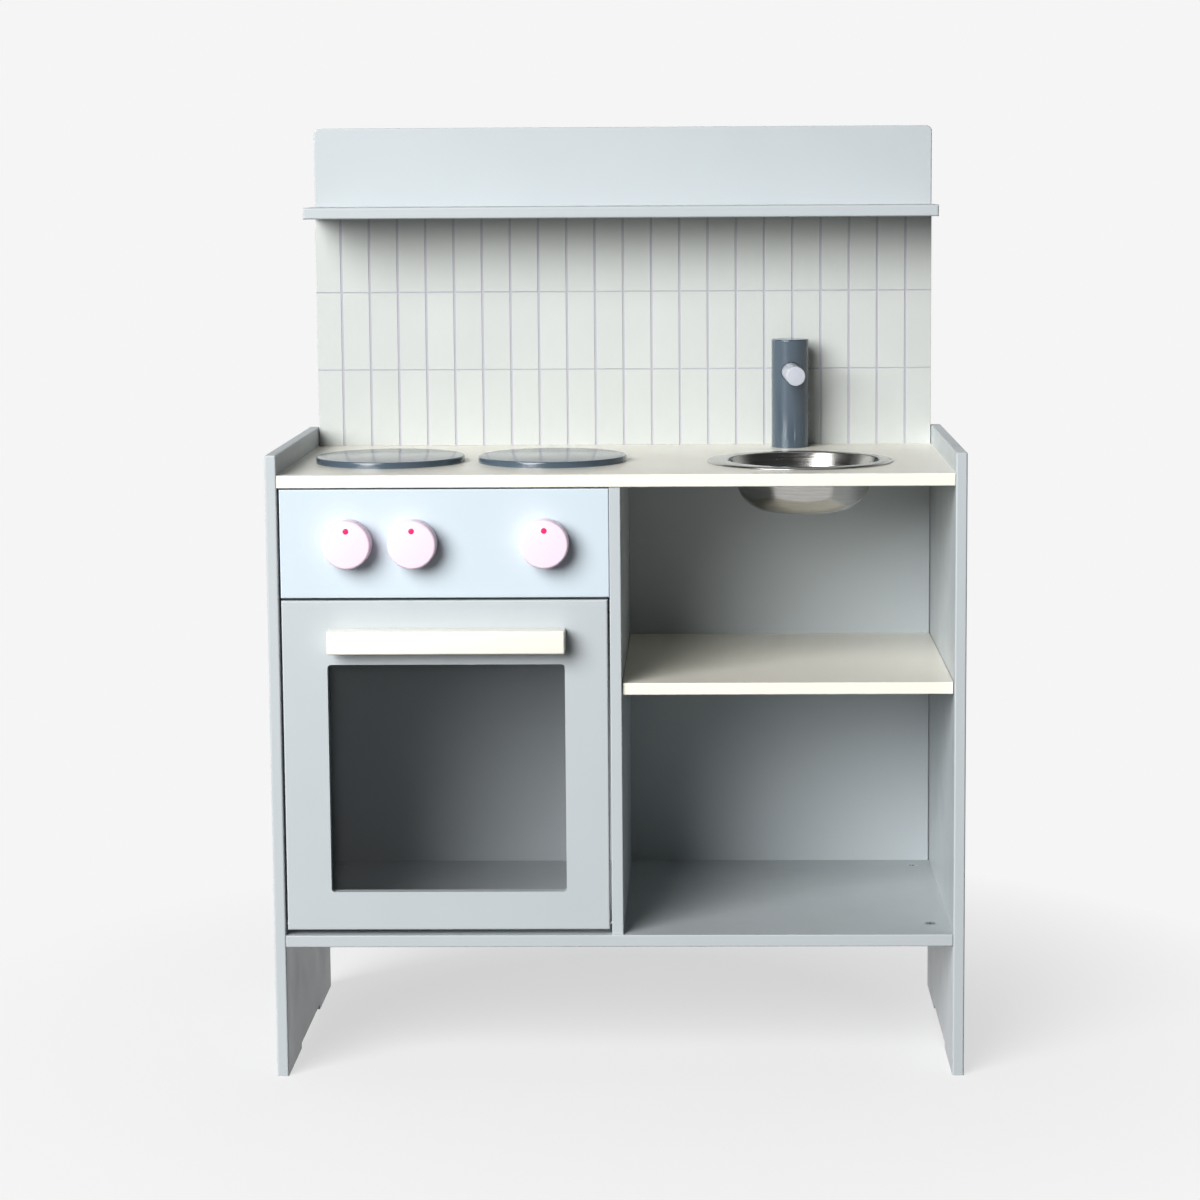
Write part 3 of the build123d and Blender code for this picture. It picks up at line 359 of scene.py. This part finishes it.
for part in frame["record"]["subparts"]:
    slots = frame["nodes"][part["node"]].data.materials
    slots.clear()
    slots.append(FINISHES[part["material_slot"]])


# ---------------------------------------------------------------- shaping pieces
def lathe(outline, foot, axis, steps=96):
    """Turns an outline of (radius, height) points about an axis through foot."""
    touching = 0.002 * MM
    bm = bmesh.new()
    outwards = axis.orthogonal().normalized()
    points = [bm.verts.new(foot + outwards * radius + axis * height) for radius, height in outline]
    edges = [bm.edges.new(pair) for pair in zip(points, points[1:])]
    bmesh.ops.spin(
        bm,
        geom=points + edges,
        cent=foot,
        axis=axis,
        angle=math.tau,
        steps=steps,
        use_merge=True,
        dvec=(0, 0, 0),
    )
    bmesh.ops.remove_doubles(bm, verts=bm.verts, dist=touching)
    bmesh.ops.recalc_face_normals(bm, faces=bm.faces)
    return bm


def turned_peg(radius, length, foot, axis, steps=96):
    """A round peg with flat ends."""
    return lathe([(0, 0), (radius, 0), (radius, length), (0, length)], foot, axis, steps)


def add_block(bm, low, high):
    """Adds a box between two corners."""
    spot = Matrix.Translation((low + high) / 2) @ Matrix.Diagonal((*(high - low), 1))
    bmesh.ops.create_cube(bm, size=1, matrix=spot)


def round_edges(bm, radius, chosen=None, segments=4, least=30):
    """Rounds the edges sharper than so many degrees, or only those whose middle passes the test."""
    sharp = [edge for edge in bm.edges if edge.is_manifold and edge.calc_face_angle() > math.radians(least)]
    if chosen:
        sharp = [edge for edge in sharp if chosen((edge.verts[0].co + edge.verts[1].co) / 2)]
    bmesh.ops.bevel(
        bm, geom=sharp, offset=radius, segments=segments, profile=0.5, affect="EDGES", material=-1
    )


def piece(name, bm, material, body, slot, *nodes):
    """Makes a finished object from a bmesh, riding on a body and standing for CAD nodes."""
    crease = 40  # degrees
    mesh = bpy.data.meshes.new(name)
    bm.to_mesh(mesh)
    bm.free()
    mesh.shade_smooth()
    mesh.set_sharp_from_angle(angle=math.radians(crease))
    made = bpy.data.objects.new(name, mesh)
    bpy.context.scene.collection.objects.link(made)
    mesh.materials.append(material)
    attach(made, body)
    if nodes:
        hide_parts(*nodes)
    return made


# ---------------------------------------------------------------- knobs
def make_knob(side):
    """Turned knob, rounder at the front than at the back."""
    node = f"knob_{side}"
    front_radius, back_radius = 2.2 * MM, 1.0 * MM
    back = back_middle(node)
    radius, length = span(node).x / 2, span(node).y
    bm = turned_peg(radius, length, back, -BACK)
    round_edges(bm, front_radius, lambda point: point.y < back.y - length / 2, segments=6)
    round_edges(bm, back_radius, lambda point: point.y > back.y - length / 2)
    piece(f"turned_knob_{side}", bm, knob_paint, node, "knob_paint", node)


def make_dot(side):
    """Drop of paint that is thinner towards its edge."""
    node = f"knob_dot_{side}"
    radius, height = span(node).x / 2, span(node).y
    crown, edge_drop = 0.6 * radius, 0.2 * MM
    outline = [(0, 0), (radius, 0), (radius, height - edge_drop), (crown, height), (0, height)]
    bm = lathe(outline, back_middle(node), -BACK, steps=32)
    piece(f"painted_dot_{side}", bm, pink_paint, f"knob_{side}", "pink_paint", node)


for side in ("left", "middle", "right"):
    make_knob(side)
    make_dot(side)


# ---------------------------------------------------------------- burners
def make_burner(side):
    """Flat disc with a rounded upper edge."""
    node = f"burner_{side}"
    edge_radius = 1.2 * MM
    foot = foot_middle(node)
    radius, height = span(node).x / 2, span(node).z
    bm = turned_peg(radius, height, foot, UP, steps=128)
    round_edges(bm, edge_radius, lambda point: point.z > foot.z + height / 2)
    piece(f"hob_disc_{side}", bm, slate_paint, "cabinet", "slate_paint", node)


for side in ("left", "right"):
    make_burner(side)


# ---------------------------------------------------------------- sink
def make_bowl():
    """Flat rim that slopes down to its edge, with the pressed bowl a little to the right in it."""
    node = "sink_bowl"
    sheet, aside, edge_drop = 0.8 * MM, 3.4 * MM, 0.9 * MM
    # Radii of the flat bottom, the mouth, the part that goes aside, the start of the slope and its end
    floor, mouth, flat, slope, edge = 50.0 * MM, 67.5 * MM, 71.0 * MM, 76.5 * MM, span(node).x / 2
    floor_bend, mouth_bend, rim_bend = 18.8 * MM, 1.2 * MM, 0.3 * MM
    foot, top = foot_middle(node), span(node).z
    outline = [(0, sheet), (floor, sheet), (mouth, top), (flat, top), (slope, top), (edge, top - edge_drop)]
    bm = lathe(outline, foot, UP, steps=128)

    def off_axis(point):
        return (point - foot).to_2d().length

    round_edges(bm, floor_bend, lambda point: point.z < foot.z + top / 2, segments=12)
    round_edges(bm, mouth_bend, lambda point: point.z > foot.z + top / 2)
    round_edges(bm, rim_bend, lambda point: off_axis(point) > slope - MM, segments=2, least=5)
    # The bowl goes aside whole, and the flat of the rim takes up the difference
    for vert in bm.verts:
        share = (slope - off_axis(vert.co)) / (slope - flat)
        vert.co.x += aside * min(max(share, 0), 1)
    # Faces point up and inwards, so that the sheet's thickness goes down and outwards
    bmesh.ops.recalc_face_normals(bm, faces=bm.faces)
    bottom = min(bm.faces, key=lambda face: face.calc_center_median().z)
    if bottom.normal.z < 0:
        bmesh.ops.reverse_faces(bm, faces=bm.faces)
    bowl = piece("spun_bowl", bm, bowl_steel, "sink", "steel", node)
    wall = bowl.modifiers.new("sheet", "SOLIDIFY")
    wall.thickness = sheet
    wall.offset = -1


make_bowl()


# ---------------------------------------------------------------- tap
def make_spout():
    """Plain rod from inside the tap's body, rounded at its tip."""
    node = "tap_spout"
    length, sunk, tip_radius = 65.5 * MM, 8 * MM, 0.8 * MM
    tap, spout = middle("tap_body"), middle(node)
    outwards = Vector((spout.x - tap.x, spout.y - tap.y, 0)).normalized()
    root = Vector((tap.x, tap.y, spout.z)) + outwards * (span("tap_body").x / 2 - sunk)
    bm = turned_peg(span(node).z / 2, length, root, outwards, steps=64)
    round_edges(bm, tip_radius, lambda point: (point - root).dot(outwards) > length / 2)
    piece("dowel_spout", bm, spout_paint, "tap", "spout_paint", node)


make_spout()


# ---------------------------------------------------------------- tiles
def make_tiles():
    """Upright tiles in three rows, standing a little proud of the grout behind them."""
    low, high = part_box("tile_sheet")
    half_upright, half_level = 1.0 * MM, 0.5 * MM  # half the width of a grout line
    proud, chamfer = 0.4 * MM, 0.25 * MM
    levels = [low.z, TILE_LINE, TILE_LINE + TILE_RISE, high.z]
    inner = [TILE_PITCH * (number - TILE_COLUMNS / 2) for number in range(1, TILE_COLUMNS)]
    uprights = [low.x, *inner, high.x]
    bm = bmesh.new()
    for left, right in zip(uprights, uprights[1:]):
        for under, over in zip(levels, levels[1:]):
            near = Vector((
                left + (left > low.x) * half_upright,
                low.y,
                under + (under > low.z) * half_level,
            ))
            far = Vector((
                right - (right < high.x) * half_upright,
                low.y + proud,
                over - (over < high.z) * half_level,
            ))
            add_block(bm, near, far)
    round_edges(bm, chamfer, lambda point: point.y < low.y + proud / 2, segments=1)
    piece("splash_tiles", bm, tile_print, "cabinet", "tile_print", "tile_sheet")
    grout = bmesh.new()
    add_block(grout, Vector((low.x, low.y + proud, low.z)), high)
    piece("grout_sheet", grout, grout_print, "cabinet", "tile_print")


make_tiles()


# ---------------------------------------------------------------- door handle
def make_handle():
    """Square bar with all its edges rounded."""
    edge_radius = 1.75 * MM
    bm = bmesh.new()
    add_block(bm, *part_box("door_handle"))
    round_edges(bm, edge_radius, segments=5)
    piece("handle_bar", bm, cream_paint, "door", "cream_paint", "door_handle")


make_handle()


# ---------------------------------------------------------------- camera
def make_camera():
    """A long lens, a little above the worktop, with its frame shifted on to the object."""
    lens = bpy.data.cameras.new("camera")
    lens.sensor_width = 36.0
    lens.lens = 84.641
    lens.shift_x = -0.05625
    lens.shift_y = -0.08
    camera = bpy.data.objects.new("camera", lens)
    bpy.context.scene.collection.objects.link(camera)
    stand = Vector((0.07816, -2.5223, 0.7794))
    turned, tilted, rolled = 0.8125, 83.407, -0.3226
    camera.matrix_world = (
        Matrix.Translation(stand)
        @ Matrix.Rotation(math.radians(turned), 4, "Z")
        @ Matrix.Rotation(math.radians(tilted), 4, "X")
        @ Matrix.Rotation(math.radians(rolled), 4, "Z")
    )
    bpy.context.scene.camera = camera


make_camera()


# ---------------------------------------------------------------- studio
def make_floor():
    """Pale floor that runs on to the horizon.

    The camera sees the backdrop's own tone, with a share of the real light and shadow near the object.
    Mirror-like surfaces see the same tone, and all other light meets a dim floor.
    """
    radius = 60.0
    fade_start, fade_end, lit_share = 0.25, 0.7, 0.3
    bm = bmesh.new()
    bmesh.ops.create_circle(bm, cap_ends=True, segments=96, radius=radius)
    mesh = bpy.data.meshes.new("floor")
    bm.to_mesh(mesh)
    bm.free()
    floor = bpy.data.objects.new("floor", mesh)
    bpy.context.scene.collection.objects.link(floor)
    material = bpy.data.materials.new("pale_floor")
    material.use_nodes = True
    tree = material.node_tree
    tree.nodes.clear()
    lit = place(tree, "ShaderNodeBsdfDiffuse", {"Color": neutral(0.9)}).outputs[0]
    dim = place(tree, "ShaderNodeBsdfDiffuse", {"Color": neutral(0.14)}).outputs[0]
    glow = place(tree, "ShaderNodeEmission", {"Color": neutral(PALE), "Strength": 1.0}).outputs[0]
    reach = length_of(tree, object_place(tree))
    near = ramp_between(tree, reach, fade_start, fade_end, to_low=lit_share, to_high=0.0)
    seen = mixed(tree, near, glow, lit)
    path = place(tree, "ShaderNodeLightPath").outputs
    unseen = mixed(tree, path["Is Glossy Ray"], dim, glow)
    place(tree, "ShaderNodeOutputMaterial", {"Surface": mixed(tree, path["Is Camera Ray"], unseen, seen)})
    mesh.materials.append(material)


def make_light():
    """One big softbox, in front to the left and above the worktop."""
    softbox = bpy.data.lights.new("key", "AREA")
    softbox.shape = "DISK"
    softbox.size = 5.3
    softbox.energy = 765.0
    key = bpy.data.objects.new("key", softbox)
    bpy.context.scene.collection.objects.link(key)
    stand, aim = Vector((-3.27, -5.13, 3.1)), Vector((0.0, -0.1, 0.5))
    turn = (aim - stand).to_track_quat("-Z", "Y")
    key.matrix_world = Matrix.Translation(stand) @ turn.to_matrix().to_4x4()
    key.visible_camera = False


def make_surroundings():
    """White backdrop for the camera, and a dim room for everything else.

    The room has a bright far wall, a softly lit right side and, in mirror-like surfaces, a bright ceiling.
    """
    world = bpy.data.worlds.new("studio")
    world.use_nodes = True
    bpy.context.scene.world = world
    tree = world.node_tree
    tree.nodes.clear()
    parts = place(tree, "ShaderNodeSeparateXYZ", {0: object_place(tree)}).outputs
    backwards = ramp_between(tree, parts[1], 0.15, 0.75)
    below_ceiling = ramp_between(tree, parts[2], 0.35, 0.75, to_low=1.0, to_high=0.0)
    far_wall = product_of(tree, backwards, below_ceiling)
    right_side = ramp_between(tree, parts[0], 0.6, 0.95, to_high=0.3)
    ceiling = ramp_between(tree, parts[2], 0.8, 0.95, to_high=0.5)
    lit_wall = ramp_between(tree, far_wall, 0.0, 1.0, to_low=0.03, to_high=0.5)
    lighting = sum_of(tree, lit_wall, right_side)
    mirrored_wall = ramp_between(tree, far_wall, 0.0, 1.0, to_low=0.08, to_high=0.95)
    mirrored = sum_of(tree, mirrored_wall, ceiling)
    soft = place(tree, "ShaderNodeBackground", {"Color": DAYLIGHT, "Strength": lighting}).outputs[0]
    shine = place(tree, "ShaderNodeBackground", {"Color": DAYLIGHT, "Strength": mirrored}).outputs[0]
    backdrop = place(tree, "ShaderNodeBackground", {"Color": neutral(PALE), "Strength": 1.0}).outputs[0]
    path = place(tree, "ShaderNodeLightPath").outputs
    room = mixed(tree, path["Is Glossy Ray"], soft, shine)
    place(tree, "ShaderNodeOutputWorld", {"Surface": mixed(tree, path["Is Camera Ray"], room, backdrop)})


def set_view():
    """Plain tones, with slightly deeper shadows."""
    view = bpy.context.scene.view_settings
    view.view_transform = "Standard"
    view.gamma = 0.85


make_floor()
make_light()
make_surroundings()
set_view()
